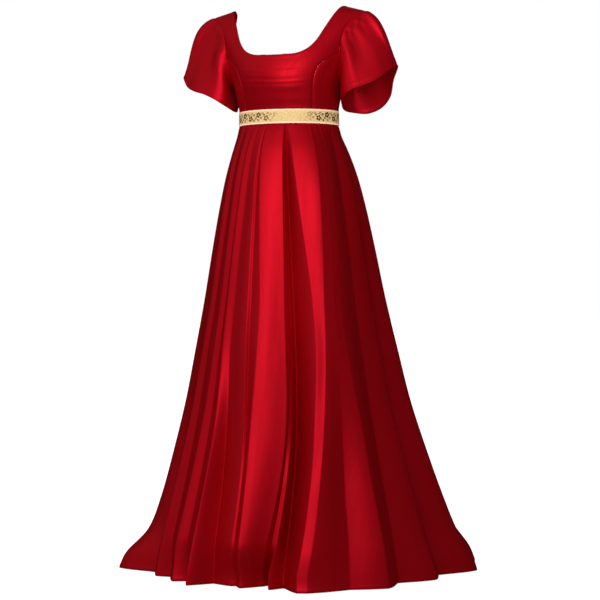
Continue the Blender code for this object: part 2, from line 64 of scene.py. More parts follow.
# Edges of the bodice pieces, each from its lower end to its upper end
OUT, UP = range(2)
FRONT_NECKLINE = (
    (0.000, 1.2805), (0.030, 1.2810), (0.054, 1.2835), (0.072, 1.2900), (0.087, 1.3015),
    (0.100, 1.3190), (0.110, 1.3400), (0.120, 1.3630), (0.130, 1.3850), (0.143, 1.4090),
)
BACK_NECKLINE = (
    (0.000, 1.2500), (0.045, 1.2505), (0.082, 1.2540), (0.108, 1.2640), (0.128, 1.2800),
    (0.1465, 1.3010), (0.1550, 1.3260), (0.1580, 1.3530), (0.1555, 1.3800), (0.143, 1.4090),
)
FRONT_ARMHOLE = (
    (0.1500, 1.2900), (0.1515, 1.3080), (0.1545, 1.3260), (0.1590, 1.3440), (0.1660, 1.3620),
    (0.1760, 1.3800), (0.1880, 1.3950), (0.2005, 1.4090),
)
FRONT_UNDERARM = (
    (0.1500, 1.2900), (0.1462, 1.2700), (0.1425, 1.2480), (0.1403, 1.2290), (0.1408, 1.2170),
)
BACK_ARMHOLE = (
    (0.1408, 1.2170), (0.1400, 1.2330), (0.1440, 1.2550), (0.1505, 1.2790), (0.1585, 1.3020),
    (0.1670, 1.3250), (0.1750, 1.3470), (0.1810, 1.3670), (0.1860, 1.3840), (0.1920, 1.3960),
    (0.2005, 1.4090),
)
# The seam that shapes the bust: its angle from the centre front at each height
ANGLE = 0
PRINCESS_SEAM = (
    (43.0, 1.149), (42.5, 1.180), (42.0, 1.210), (43.0, 1.238), (47.0, 1.260), (54.0, 1.278),
)

# The skirt hangs as a cone from the waist to the hem. share is how far it has spread, swell how
# far the gathers puff it out in front and behind, gather how deep they are, and pool how much
# of what lies on the floor has been let out
SKIRT_COLUMNS = HEIGHT, SHARE, SWELL, GATHER, POOL = range(5)
SKIRT = (
    (1.1127, 0.000, 0.0000, 0.0020, 0.00),
    (1.1040, 0.004, 0.0055, 0.0035, 0.00),
    (1.0850, 0.022, 0.0105, 0.0060, 0.00),
    (1.0450, 0.075, 0.0125, 0.0085, 0.00),
    (0.9850, 0.143, 0.0100, 0.0095, 0.00),
    (0.9050, 0.212, 0.0060, 0.0080, 0.00),
    (0.8050, 0.287, 0.0030, 0.0030, 0.00),
    (0.6800, 0.372, 0.0010, 0.0000, 0.00),
    (0.5550, 0.467, 0.0000, 0.0000, 0.00),
    (0.4300, 0.565, 0.0000, 0.0000, 0.00),
    (0.3050, 0.692, 0.0000, 0.0000, 0.00),
    (0.1900, 0.818, 0.0000, 0.0000, 0.03),
    (0.1050, 0.912, 0.0000, 0.0000, 0.20),
    (0.0480, 0.970, 0.0000, 0.0000, 0.78),
    (0.0180, 0.993, 0.0000, 0.0000, 0.95),
    (0.0020, 1.000, 0.0000, 0.0000, 1.00),
)
HEM_ROW = len(SKIRT) - 1

# Folds round the skirt, one row for each line along which the cloth bends: its angle in degrees
# from the centre front towards the wearer's left, at four heights, then how far the cone
# through it would reach at the hem, as the upper skirt, the lower skirt and the hem itself draw
# it, what lies pooled beyond, and how far it stands out or in under the band
AT_WAIST, AT_HALF, AT_KNEE, AT_HEM, UPPER, LOWER, REACH, POOLED, PUFF = range(9)
FOLD_EDGES = (
    (-84, -80, -78, -80, 0.366, 0.366, 0.366, 0.070, 0.2),
    (-68, -66, -68, -68, 0.340, 0.322, 0.318, 0.015, -0.2),
    (-56, -53, -55, -56, 0.348, 0.340, 0.338, 0.000, 0.2),
    (-50, -48, -50, -51, 0.332, 0.318, 0.308, 0.000, -0.2),
    (-40, -38, -37, -38, 0.346, 0.342, 0.334, 0.000, 0.2),
    (-34, -34, -33, -34, 0.334, 0.324, 0.296, 0.000, -0.1),
    (-31, -30, -25, -25, 0.350, 0.350, 0.350, 0.000, 0.1),
    (-25, -25, -21.5, -20, 0.330, 0.292, 0.284, 0.000, -0.2),
    (-15, -10.5, -6.5, -8, 0.366, 0.322, 0.296, 0.000, 0.1),
    (-13.5, -8.5, -5.5, -6.5, 0.352, 0.320, 0.290, 0.000, -0.1),
    (-10.5, -1, -1.5, -2, 0.380, 0.350, 0.320, 0.000, 0.3),
    (12.5, 16, 17.5, 6, 0.342, 0.308, 0.278, 0.000, 0.0),
    (13.2, 18, 18.7, 8.5, 0.325, 0.290, 0.262, 0.000, -0.3),
    (14, 20, 20.5, 11, 0.308, 0.292, 0.330, 0.000, -0.5),
    (16, 23, 24.5, 17, 0.278, 0.256, 0.300, 0.000, -1.0),
    (22, 34, 31, 22, 0.414, 0.398, 0.382, 0.000, -0.2),
    (45, 40.5, 35, 25.5, 0.440, 0.402, 0.385, 0.000, 0.9),
    (51, 46.5, 46, 43, 0.430, 0.360, 0.356, 0.000, 0.7),
    (59, 51, 56, 57, 0.420, 0.390, 0.384, 0.000, 0.4),
    (74, 70, 71, 70, 0.350, 0.340, 0.338, 0.000, -0.4),
    (86, 86, 86, 86, 0.376, 0.380, 0.380, 0.010, 0.2),
    (95, 96, 97, 98, 0.344, 0.348, 0.356, 0.020, -0.2),
    (108, 109, 110, 111, 0.444, 0.444, 0.444, 0.028, 0.3),
    (118, 119, 121, 122, 0.432, 0.432, 0.432, 0.040, -0.3),
    (129, 130, 132, 133, 0.488, 0.488, 0.488, 0.040, 0.3),
    (139, 141, 143, 144, 0.462, 0.462, 0.462, 0.045, -0.3),
    (150, 152, 154, 155, 0.550, 0.550, 0.550, 0.045, 0.3),
    (160, 162, 163, 164, 0.512, 0.512, 0.512, 0.050, -0.3),
    (170, 171, 172, 172, 0.590, 0.590, 0.590, 0.055, 0.3),
    (180, 180, 180, 180, 0.556, 0.556, 0.556, 0.055, -0.3),
    (190, 189, 188, 188, 0.590, 0.590, 0.590, 0.060, 0.3),
    (200, 199, 198, 197, 0.525, 0.525, 0.525, 0.065, -0.3),
    (211, 209, 208, 206, 0.550, 0.550, 0.550, 0.075, 0.3),
    (222, 220, 218, 216, 0.480, 0.480, 0.480, 0.090, -0.3),
    (233, 231, 229, 226, 0.485, 0.485, 0.485, 0.120, 0.3),
    (244, 242, 239, 236, 0.410, 0.410, 0.410, 0.145, -0.3),
    (256, 253, 250, 247, 0.400, 0.400, 0.400, 0.162, 0.2),
    (266, 266, 264, 262, 0.345, 0.345, 0.345, 0.130, -0.2),
)
FOLD_HEIGHTS = ((1.060,), (0.680,), (0.360,), (0.040,))
# Between which heights the reach changes from the upper to the lower skirt, and to the hem
LOWER_FOLDS, UPPER_FOLDS = 0.20, 0.62
HEM_FOLDS, SHIN_FOLDS = 0.015, 0.110
LEFT_SEAM, BACK_SEAM, RIGHT_SEAM = 21, 29, 37

# Hem of each sleeve, as it hangs: around is 0 at the top, 90 in front, 180 at the underarm
AROUND, SIDEWAYS, FORE, LEVEL = range(4)
LEFT_SLEEVE_HEM = (
    (0, 0.282, 0.003, 1.2550), (28, 0.263, -0.032, 1.2360), (58, 0.240, -0.054, 1.2150),
    (88, 0.214, -0.066, 1.2030), (118, 0.189, -0.071, 1.1940), (148, 0.164, -0.060, 1.1800),
    (178, 0.144, -0.014, 1.1610), (206, 0.139, 0.030, 1.1510), (230, 0.156, 0.056, 1.1470),
    (256, 0.186, 0.070, 1.1460), (284, 0.220, 0.071, 1.1590), (310, 0.246, 0.061, 1.1850),
    (336, 0.262, 0.034, 1.2220),
)
RIGHT_SLEEVE_HEM = (
    (0, 0.283, 0.000, 1.2480), (28, 0.264, -0.028, 1.2200), (58, 0.237, -0.052, 1.2050),
    (88, 0.203, -0.064, 1.1940), (118, 0.174, -0.066, 1.1800), (148, 0.153, -0.050, 1.1650),
    (178, 0.141, -0.010, 1.1530), (206, 0.151, 0.034, 1.1630), (236, 0.176, 0.059, 1.1790),
    (266, 0.204, 0.068, 1.1950), (298, 0.234, 0.060, 1.2120), (330, 0.266, 0.033, 1.2310),
)
# How far the cloth runs on past the shoulder before it falls, as a share of its length
LEFT_HEAD, RIGHT_HEAD = 0.31, 0.42
UNDERARM_HEAD = 0.18
UNDERARM_BEGINS = 0.25
SLEEVE_FALL = (0.42, -0.30, -0.86)
SLEEVE_FALL_SHARE = 0.34
SLEEVE_SETTLE = 0.22

# Thickness of the shells
CLOTH = 0.0010
BAND_CLOTH = 0.0016

# Fineness of the shells
SEAM_ROWS = 44
STRAP_ROWS = 68
FRONT_COLUMNS = 42
SIDE_COLUMNS = 30
BACK_COLUMNS = 44
BAND_ROWS = 14
BAND_STEPS = 360
SLEEVE_ROWS = 72
SLEEVE_COLUMNS = 288
SKIRT_ROWS = 250
SKIRT_STEPS = 9
CREASE_STEPS = 24
HALVINGS = 40
# Share of the skirt's rows that go by the table's own rows, which lie closer at the hem
HEM_FINENESS = 0.35
# How far from a point its normal is measured: in each surface's own two directions
TORSO_PROBE, SLEEVE_PROBE, SKIRT_PROBE = (0.5, 0.05), (2.0, 0.02), (0.05, 0.05)
# How much the lines of the bodice's grid sag under a scooped neckline
NECK_SAG = 1.2
# From which share of its length the princess seam bends to the armhole's end
PRINCESS_BEND = 0.72
# Row of TORSO at which the seams' gap is turned into an angle
GAP_ROW = 3

# Seams and turned edges, in metres
SEAM_DIP, SEAM_DIP_WIDTH = 0.0008, 0.0040
EDGE_LIFT, FACING, FACING_END = 0.0006, 0.009, 0.002
EDGE_ROLL, EDGE_ROLL_WIDTH = 1.2, 0.003
BAND_SWELL, BAND_EDGE = 0.0006, 0.0030
SEAM_ALLOWANCE = ((0.0060, 0.0022), (0.0010, 0.0016))

# How round each flank is, from 0 for flat to 1
FOLD_ROUND = 0.35

# Creases of the bodice, each a line of (out, height), its depth and its width in metres
FRONT_CREASES = (
    (((-0.105, 1.249), (-0.060, 1.243), (0.000, 1.239), (0.050, 1.240), (0.090, 1.246)),
     0.0010, 0.0036),
    (((-0.105, 1.238), (-0.060, 1.232), (0.000, 1.228), (0.050, 1.229), (0.090, 1.235)),
     0.0012, 0.0085),
    (((-0.110, 1.223), (-0.060, 1.217), (0.000, 1.213), (0.050, 1.214), (0.092, 1.220)),
     0.0011, 0.0036),
    (((-0.110, 1.211), (-0.060, 1.205), (0.000, 1.201), (0.050, 1.202), (0.092, 1.208)),
     0.0013, 0.0090),
)
BACK_CREASES = (
    (((-0.100, 1.172), (-0.040, 1.178), (0.030, 1.176), (0.095, 1.170)), 0.0010, 0.0060),
    (((-0.110, 1.200), (-0.050, 1.207), (0.040, 1.204), (0.105, 1.198)), -0.0009, 0.0070),
)
# Share of a crease's length over which each of its ends fades out
CREASE_TAPER = 0.3

# Gathers along a seam: the seed of their draw, where they begin and end in degrees, how many,
# then the least and most depth and length in metres, and width in degrees
LEFT_SLEEVE_DRAW = (3, -84, 84, 14, (0.0003, 0.0008), (0.03, 0.10), (4.5, 7.5))
RIGHT_SLEEVE_DRAW = (4, -84, 84, 14, (0.0002, 0.0006), (0.03, 0.10), (4.5, 7.5))
SKIRT_DRAW = (5, -90, 270, 110, (0.0003, 0.0009), (0.02, 0.08), (1.2, 2.2))
# How far a gather may stray, as a share of the space it has, and where it is full and fades
GATHER_STRAY = 0.35
GATHER_FULL, GATHER_FADES = 0.12, 0.15

# Look of the satin
SATIN_DEEP, SATIN_BRIGHT = (0.34, 0.0, 0.0016, 1.0), (0.40, 0.0004, 0.004, 1.0)
SATIN_METALLIC, SATIN_SPECULAR = 0.72, 0.7
SATIN_TINT = (1.0, 0.22, 0.46, 1.0)
SATIN_ROUGHNESS = (0.46, 0.54)
# Its patterns, in waves per metre: tone and rucks in space, streaks and weave on the flat cloth
TONE_WAVES, RUCK_WAVES = (7.0, 7.0, 2.0), (9.0, 9.0, 5.0)
STREAK_WAVES, WEAVE_WAVES = (60.0, 3.0, 1.0), (1600.0, 90.0, 1.0)
# Range of the streaks' noise that is spread over the whole roughness
STREAK_RANGE = (0.3, 0.7)
# Strength and depth in metres of each of its reliefs
WEAVE_RELIEF, RUCK_RELIEF, STREAK_RELIEF = (0.10, 0.0002), (0.25, 0.006), (0.16, 0.0016)

# Look of the ribbon: colours, then the repeat of its pattern and the motifs in it, in metres
GOLD, GOLD_DEEP = (0.66, 0.49, 0.24, 1.0), (0.50, 0.33, 0.13, 1.0)
BROCADE_BROWN, RIBBON_PEACH = (0.20, 0.085, 0.03, 1.0), (0.95, 0.60, 0.42, 1.0)
# Roughness and metallic of the ground, then of the woven pattern
RIBBON_ROUGHNESS, RIBBON_METALLIC = (0.60, 0.40), (0.04, 1.0)
RIBBON_SPECULAR = 0.15
FLECK_WAVES, WORN_WAVES = (420.0, 420.0, 1.0), (22.0, 30.0, 1.0)
RIBBON_WEAVE_WAVES = (300.0, 1800.0, 1.0)
# Range of each noise, and what the worn places leave of the pattern
FLECK_RANGE, WORN_RANGE, WORN_LEAVES = (0.35, 0.65), (0.3, 0.6), 0.55
RIBBON_RELIEF, WEAVE_SHARE = (0.6, 0.0005), 0.3
REPEAT = 0.048
# Where along the ribbon its pattern is faded, as the photograph shows it, to paint the glare of a
# highlight on the band's front, and how far out
GLARE_FADE_AT, BAND_LENGTH, GLARE_FADE_REACH = 0.038, 0.7115, (0.030, 0.068)
# What the painted glare leaves of the pattern at the band's front
GLARE_FADE_LEAVES = 0.12
# A flower's solid middle, how far its petals reach past it and its eye, as shares of its size
FLOWER_MIDDLE, FLOWER_PETAL, FLOWER_EYE = 0.55, 0.45, 0.28
RIBBON_EDGE, MOTIF_EDGE, VEIN, LEAF_WIDTH, STEM_SWING = 0.0036, 0.00035, 0.0004, 0.22, 0.0065
BAND_FLOWERS = (((0.012, 0.0140), 0.0075, 2.5), ((0.036, 0.0225), 0.0075, 2.5),
                ((0.001, 0.0260), 0.0030, 2.0), ((0.025, 0.0085), 0.0030, 2.0))
BAND_LEAVES = (((0.0225, 0.0230), 0.0100, 35.0), ((0.0050, 0.0225), 0.0090, -50.0),
               ((0.0455, 0.0150), 0.0100, -35.0), ((0.0290, 0.0145), 0.0090, 50.0),
               ((0.0155, 0.0270), 0.0080, 10.0), ((0.0385, 0.0090), 0.0080, -10.0),
               ((0.0200, 0.0110), 0.0070, -20.0), ((0.0440, 0.0260), 0.0070, 20.0))

WELD, TINY = 1e-6, 1e-12

# Floor and soft white light
FLOOR = -SHOULDER_HEIGHT
FLOOR_REACH, FLOOR_GLOW = 60.0, 0.85
FLOOR_GREY, FLOOR_ROUGHNESS, FLOOR_SPECULAR = (0.9, 0.9, 0.9, 1.0), 0.9, 0.1
WHITE = (1.0, 1.0, 1.0, 1.0)
# Soft far lights: name, azimuth, elevation, width in degrees and strength
SUNS = (
    ("upper", 5.0, 50.0, 60.0, 0.42),
    ("left_fill", -55.0, 30.0, 70.0, 0.6),
    ("right_fill", 80.0, 25.0, 60.0, 0.12),
    ("sky", 0.0, 90.0, 150.0, 0.30),
    ("back", 195.0, 50.0, 60.0, 0.25),
)
# Soft discs in front: name, azimuth, distance, height, width and power. The small one is near
# the bust, and falls off fast below it
DISCS = (
    ("key", 14.0, 3.2, 1.30, 1.9, 44.0),
    ("bust", 8.0, 1.0, 1.45, 0.7, 3.4),
)

# Camera, as the photograph was taken
CAMERA_AZIMUTH = 19.0
CAMERA_DISTANCE = 5.0
CAMERA_HEIGHT = 0.68
CAMERA_ASIDE = 0.0275
LENS, SENSOR = 120.0, 36.0


def catmull(a, b, c, d, t):
    return 0.5 * (2 * b + (c - a) * t + (2 * a - 5 * b + 4 * c - d) * t * t
                  + (3 * b - a - 3 * c + d) * t ** 3)


def spline(table, column, position):
    """Smooth values of a table's column at row positions that may lie between rows."""
    values = np.array([row[column] for row in table])
    last = len(values) - 1
    position = np.clip(position, 0.0, last)
    index = np.minimum(position.astype(int), last - 1)
    a, b, c, d = (values[np.clip(index + k, 0, last)] for k in (-1, 0, 1, 2))
    return catmull(a, b, c, d, position - index)


def row_at(table, column, value):
    """Row positions where a column that rises or falls steadily has these values."""
    value = np.asarray(value, float)
    low, high = np.zeros_like(value), np.full_like(value, len(table) - 1)
    rising = table[-1][column] > table[0][column]
    for _ in range(HALVINGS):
        middle = (low + high) / 2
        below = (spline(table, column, middle) < value) == rising
        low, high = np.where(below, middle, low), np.where(below, high, middle)
    return (low + high) / 2


def smooth_step(low, high, value):
    share = np.clip((value - low) / (high - low), 0.0, 1.0)
    return share * share * (3 - 2 * share)


def unit(vectors):
    return vectors / np.linalg.norm(vectors, axis=-1, keepdims=True)


def surface_normal(surface, u, v, du, dv):
    along = surface(u + du, v) - surface(u - du, v)
    across = surface(u, v + dv) - surface(u, v - dv)
    return unit(np.cross(along, across))


def torso_point(angle, row):
    """Points of the bodice: angle from the centre front, row from the band to the shoulder."""
    over = row > TORSO_TOP
    angle = np.where(over, 180.0 - angle, angle)
    row = np.where(over, 2 * TORSO_TOP - row, row)
    turn = np.radians(angle)
    height = spline(TORSO, HEIGHT, row)
    out = spline(TORSO, HALF_WIDTH, row) * np.sin(turn)
    depth = np.where(np.cos(turn) > 0, spline(TORSO, FRONT, row), spline(TORSO, BACK, row))
    drop = SHOULDER_SLOPE * np.maximum(0.0, np.abs(out) - NECK_POINT)
    drop *= smooth_step(SLOPE_BEGINS, SLOPE_ENDS, height)
    return np.stack((out, -depth * np.cos(turn), height - drop - SHOULDER_HEIGHT), axis=-1)


def torso_normal(angle, row):
    return surface_normal(torso_point, angle, row, *TORSO_PROBE)


def on_torso(out, height, back=False):
    """Angle and row of the bodice points this far out at this height."""
    row = row_at(TORSO, HEIGHT, height)
    angle = np.degrees(np.arcsin(np.minimum(out / spline(TORSO, HALF_WIDTH, row), 1.0)))
    return np.stack((180.0 - angle if back else angle, row), axis=-1)


def edge_stations(table, steps, back=False):
    position = np.linspace(0, len(table) - 1, steps + 1)
    return on_torso(spline(table, OUT, position), spline(table, UP, position), back)


def straight(start, end, steps):
    share = np.linspace(0, 1, steps + 1)[:, None]
    return np.asarray(start) * (1 - share) + np.asarray(end) * share


def princess_stations():
    position = np.linspace(0, len(PRINCESS_SEAM) - 1, SEAM_ROWS + 1)
    angle = spline(PRINCESS_SEAM, ANGLE, position)
    row = row_at(TORSO, HEIGHT, spline(PRINCESS_SEAM, UP, position))
    stations = np.stack((angle, row), axis=-1)
    end = on_torso(*(np.array(value) for value in FRONT_ARMHOLE[0]))
    # The last stretch runs from the table's end to the armhole
    tail = smooth_step(PRINCESS_BEND, 1.0, np.linspace(0, 1, SEAM_ROWS + 1))[:, None]
    return stations + (end - stations[-1]) * tail


def side_stations():
    low, high = (float(row_at(TORSO, HEIGHT, value)) for value in (BAND_TOP, UNDERARM))
    return straight((90.0, low), (90.0, high), SEAM_ROWS)


def armhole_stations():
    """The whole armhole: down the front from the shoulder, then up the back."""
    upper = edge_stations(FRONT_ARMHOLE, STRAP_ROWS)[::-1]
    lower = edge_stations(FRONT_UNDERARM, SIDE_COLUMNS)
    lower[-1] = side_stations()[-1]
    back = edge_stations(BACK_ARMHOLE, STRAP_ROWS, back=True)
    back[0] = side_stations()[-1]
    return upper, lower, back


def ruled_grid(inner, outer, columns, top=None, neck=None):
    """Grid of angle and row pairs between two edges, with its last row on a third one. Lines
    near the row called neck sag, so that they stay under a scooped neckline."""
    count = len(inner)
    sag = np.zeros(count)
    if neck:
        sag = np.interp(np.arange(count), (0, neck, count - 1), (0, 1, 0))
    share = np.linspace(0, 1, columns + 1)[None, :]
    shares = np.stack((share + 0 * sag[:, None], share ** (1 + NECK_SAG * sag[:, None])), axis=-1)
    grid = inner[:, None] * (1 - shares) + outer[:, None] * shares
    if top is not None:
        rise = np.linspace(0, 1, count)[:, None, None]
        grid = grid + (top - grid[-1])[None] * rise
    return grid


def around_values(table, column, around):
    """Smooth values of a column of a table that goes round a ring."""
    turns = np.array([row[AROUND] for row in table] + [360.0])
    values = np.array([row[column] for row in table])
    around = around % 360.0
    index = np.searchsorted(turns, around, side="right") - 1
    share = (around - turns[index]) / (turns[index + 1] - turns[index])
    a, b, c, d = (values[(index + k) % len(table)] for k in (-1, 0, 1, 2))
    return catmull(a, b, c, d, share)


def armhole_loop():
    """Armhole points, outward normals and directions off the cloth's edge, all the way round,
    with each one's turn."""
    upper, lower, back = armhole_stations()
    front = np.concatenate((upper, lower[1:]))
    stations = np.concatenate((front, back[1:-1]))
    points, normals = torso_point(*stations.T), torso_normal(*stations.T)
    along = unit(np.roll(points, -1, axis=0) - np.roll(points, 1, axis=0))
    half, count = len(front) - 1, len(stations)
    turns = np.concatenate((180.0 * np.arange(half) / half,
                            180.0 + 180.0 * np.arange(count - half) / (count - half), [360.0]))
    loop = np.stack((points, normals, unit(np.cross(normals, along))))
    return np.concatenate((loop, loop[:, :1]), axis=1), turns


def sleeve_maker(hem_table, head):
    """The surface of a sleeve on the wearer's left: share 0 at the armhole and 1 at the hem."""
    loop, turns = armhole_loop()

    def place(around):
        around = around % 360.0
        return [np.stack([np.interp(around, turns, part[:, k]) for k in range(3)], axis=-1)
                for part in loop]

    def surface(around, share):
        start, normal, off = place(around)
        turn = np.radians(around)
        underarm = smooth_step(UNDERARM_BEGINS, 1.0, (1 - np.cos(turn)) / 2)[..., None]
        begin = start + off * SEAM_GAP
        leave = unit(off * (1 - underarm) + normal * underarm)
        hem = np.stack([around_values(hem_table, column, around)
                        for column in (SIDEWAYS, FORE, LEVEL)], axis=-1)
        hem[..., 2] -= SHOULDER_HEIGHT
        length = np.linalg.norm(hem - begin, axis=-1, keepdims=True)
        aside, forward, down = SLEEVE_FALL
        arrive = unit(np.stack((np.full_like(turn, aside), forward * np.sin(turn),
                                np.full_like(turn, down)), axis=-1))
        first = begin + leave * length * (head * (1 - underarm) + UNDERARM_HEAD * underarm)
        second = hem - arrive * length * SLEEVE_FALL_SHARE
        share = np.clip(share, 0.0, 1.0)[..., None]
        rest = 1 - share
        return (begin * rest ** 3 + first * 3 * rest * rest * share
                + second * 3 * rest * share * share + hem * share ** 3)

    def outward(around, share):
        _, edge_normal, off = place(around)
        underarm = smooth_step(UNDERARM_BEGINS, 1.0, (1 - np.cos(np.radians(around))) / 2)
        underarm = underarm[..., None]
        seam_normal = unit(edge_normal * (1 - underarm) - off * underarm)
        inside = np.clip(share, SLEEVE_PROBE[1], 1 - SLEEVE_PROBE[1])
        normal = -surface_normal(surface, around, inside, *SLEEVE_PROBE)
        settle = smooth_step(0.0, SLEEVE_SETTLE, share)[..., None]
        return unit(seam_normal * (1 - settle) + normal * settle)

    def aside(around):
        """Direction off the bodice's edge, in the bodice's own surface."""
        return place(around)[2]

    return surface, outward, aside


def waist_radius(angle):
    turn = np.radians(angle)
    depth = np.where(np.cos(turn) > 0, TORSO[0][FRONT], TORSO[0][BACK])
    return 1.0 / np.hypot(np.sin(turn) / TORSO[0][HALF_WIDTH], np.cos(turn) / depth)


FLANKS = np.array(FOLD_EDGES, float)


def fold_lines(index, height):
    """Angle, reach, pool and puff of the folds' edges by their number round the skirt."""
    turns, number = np.divmod(index, len(FLANKS))
    place = row_at(FOLD_HEIGHTS, HEIGHT, height)
    last = AT_HEM - AT_WAIST
    step = np.minimum(place.astype(int), last - 1)
    a, b, c, d = (FLANKS[number, np.clip(step + k, 0, last)] for k in (-1, 0, 1, 2))
    angle = catmull(a, b, c, d, place - step) + 360.0 * turns
    above = smooth_step(LOWER_FOLDS, UPPER_FOLDS, height)
    off_floor = smooth_step(HEM_FOLDS, SHIN_FOLDS, height)
    lower = FLANKS[number, REACH] * (1 - off_floor) + FLANKS[number, LOWER] * off_floor
    reach = lower * (1 - above) + FLANKS[number, UPPER] * above
    return angle, reach, FLANKS[number, POOLED], FLANKS[number, PUFF]


def skirt_place(flank, row):
    """Angle and radius of the skirt: flank counts the folds' edges, row goes to the hem."""
    flank, row = np.broadcast_arrays(np.asarray(flank, float), np.asarray(row, float))
    height, share, swell, gather, pool = (spline(SKIRT, k, row) for k in SKIRT_COLUMNS)
    index = np.floor(flank).astype(int)
    part = flank - index
    this, following = fold_lines(index, height), fold_lines(index + 1, height)
    angle = this[0] + (following[0] - this[0]) * part
    blend = FOLD_ROUND * (1 - np.cos(np.pi * part)) / 2 + (1 - FOLD_ROUND) * part
    reach, spread, puff = (this[k] + (following[k] - this[k]) * blend for k in (1, 2, 3))
    waist = waist_radius(angle)
    swell = swell * np.cos(np.radians(angle)) ** 2
    radius = waist + (reach - waist) * share + swell + gather * puff + spread * pool
    return angle, radius, height


def skirt_point(flank, row):
    angle, radius, height = skirt_place(flank, row)
    turn = np.radians(angle)
    return np.stack((radius * np.sin(turn), -radius * np.cos(turn), height - SHOULDER_HEIGHT),
                    axis=-1)


def crease_relief(u, v, creases):
    """Soft ridges and troughs. Each crease runs along points (u, v) of the panel's own chart,
    with a height in metres, below zero for a trough, and a width in the chart's units."""
    relief = np.zeros_like(u)
    for path, depth, width in creases:
        path = np.array(path, float)
        steps = np.linspace(0, len(path) - 1, CREASE_STEPS)
        line = np.stack([spline(path, k, steps) for k in (0, 1)], axis=-1)
        nearest, along = np.full_like(u, np.inf), np.zeros_like(u)
        for k, (start, end) in enumerate(zip(line[:-1], line[1:])):
            run = end - start
            share = ((u - start[0]) * run[0] + (v - start[1]) * run[1]) / max(run @ run, TINY)
            share = np.clip(share, 0, 1)
            distance = np.hypot(u - start[0] - run[0] * share, v - start[1] - run[1] * share)
            closer = distance < nearest
            nearest = np.where(closer, distance, nearest)
            along = np.where(closer, (k + share) / (CREASE_STEPS - 1), along)
        taper = smooth_step(0.0, CREASE_TAPER, along) * smooth_step(0.0, CREASE_TAPER, 1 - along)
        relief += depth * np.exp(-(nearest / width) ** 2) * taper
    return relief


def gap_angle(distance):
    """Angle that a distance on the bodice takes up."""
    return math.degrees(distance / TORSO[GAP_ROW][HALF_WIDTH])


def sheet_mesh(name, grid, outward, chart):
    """Mesh of one fine sheet, its faces turned to the outward side."""
    rows, columns = grid.shape[:2]
    number = np.arange(rows * columns).reshape(rows, columns)
    faces = np.stack((number[:-1, :-1], number[:-1, 1:], number[1:, 1:], number[1:, :-1]),
                     axis=-1).reshape(-1, 4)
    a, b, c = (grid.reshape(-1, 3)[faces[:, k]] for k in (0, 1, 3))
    facing = np.einsum("ij,ij->i", np.cross(b - a, c - a), outward.reshape(-1, 3)[faces[:, 0]])
    if facing.sum() < 0:
        faces = faces[:, ::-1]
    mesh = bpy.data.meshes.new(name)
    mesh.from_pydata(grid.reshape(-1, 3).tolist(), [], faces.tolist())
    corners = np.zeros(len(mesh.loops), int)
    mesh.loops.foreach_get("vertex_index", corners)
    layer = mesh.uv_layers.new(name="flat")
    layer.data.foreach_set("uv", chart.reshape(-1, 2)[corners].ravel())
    return mesh


def add_shell(name, patches, material, thickness=CLOTH):
    """One panel of cloth: fine sheets welded where they meet, and thickened inwards."""
    maker = bmesh.new()
    for patch in patches:
        mesh = sheet_mesh(name, *patch)
        maker.from_mesh(mesh)
        bpy.data.meshes.remove(mesh)
    bmesh.ops.remove_doubles(maker, verts=maker.verts, dist=WELD)
    mesh = bpy.data.meshes.new(name)
    maker.to_mesh(mesh)
    maker.free()
    mesh.shade_smooth()
    mesh.materials.append(material)
    piece = bpy.data.objects.new(name, mesh)
    bpy.context.scene.collection.objects.link(piece)
    wall = piece.modifiers.new("cloth", "SOLIDIFY")
    wall.thickness, wall.offset = thickness, -1.0
    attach(piece, "root")
    return piece


def away_from(points, line):
    """Distance of each point from a line of points."""
    flat = points.reshape(-1, 3)
    nearest = np.full(len(flat), np.inf)
    for start, end in zip(line[:-1], line[1:]):
        run = end - start
        share = np.clip((flat - start) @ run / max(run @ run, TINY), 0, 1)
        away = np.linalg.norm(flat - start - share[:, None] * run, axis=1)
        nearest = np.minimum(nearest, away)
    return nearest.reshape(points.shape[:-1])


def turned_edge(distance):
    """A turned edge: the doubled cloth stands a little proud and rounds off at the fold."""
    doubled = 1 - smooth_step(FACING - FACING_END, FACING + FACING_END, distance)
    rolled = 1 - smooth_step(0.0, EDGE_ROLL_WIDTH, distance)
    return EDGE_LIFT * (doubled - EDGE_ROLL * rolled)


def sewn_edge(distance):
    """Cloth pulled in along a sewn seam."""
    return -SEAM_DIP * np.exp(-(distance / SEAM_DIP_WIDTH) ** 2)


def gather_relief(u, down, gathers):
    """Short gathers that run down from a seam: each has a place, depth, length and width."""
    relief = np.zeros_like(u)
    for place, depth, length, width in gathers:
        share = down / length
        fade = smooth_step(0.0, GATHER_FULL, share) * (1 - smooth_step(GATHER_FADES, 1.0, share))
        relief += depth * fade * np.exp(-((u - place) / width) ** 2)
    return relief


def scatter_gathers(seed, low, high, count, depth, length, width):
    """Uneven gathers from low to high. depth, length and width are (least, most)."""
    chance = np.random.default_rng(seed)
    stray = chance.uniform(-GATHER_STRAY, GATHER_STRAY, count) * (high - low) / count
    places = np.linspace(low, high, count) + stray
    signs = np.where(np.arange(count) % 2, 1.0, -1.0)
    return [(place, sign * chance.uniform(*depth), chance.uniform(*length), chance.uniform(*width))
            for place, sign in zip(places, signs)]


def running_lengths(grid, axis):
    """Distance along the cloth from the first row or column, in metres."""
    lengths = np.linalg.norm(np.diff(grid, axis=axis), axis=-1)
    start = np.zeros_like(np.take(lengths, [0], axis=axis))
    return np.cumsum(np.concatenate((start, lengths), axis=axis), axis=axis)


def flat_chart(points):
    """Place of each point of a grid on the flat cloth, in metres."""
    across = running_lengths(points, 1)
    middle = across[:, across.shape[1] // 2:across.shape[1] // 2 + 1]
    return np.stack((across - middle, running_lengths(points, 0)), axis=-1)


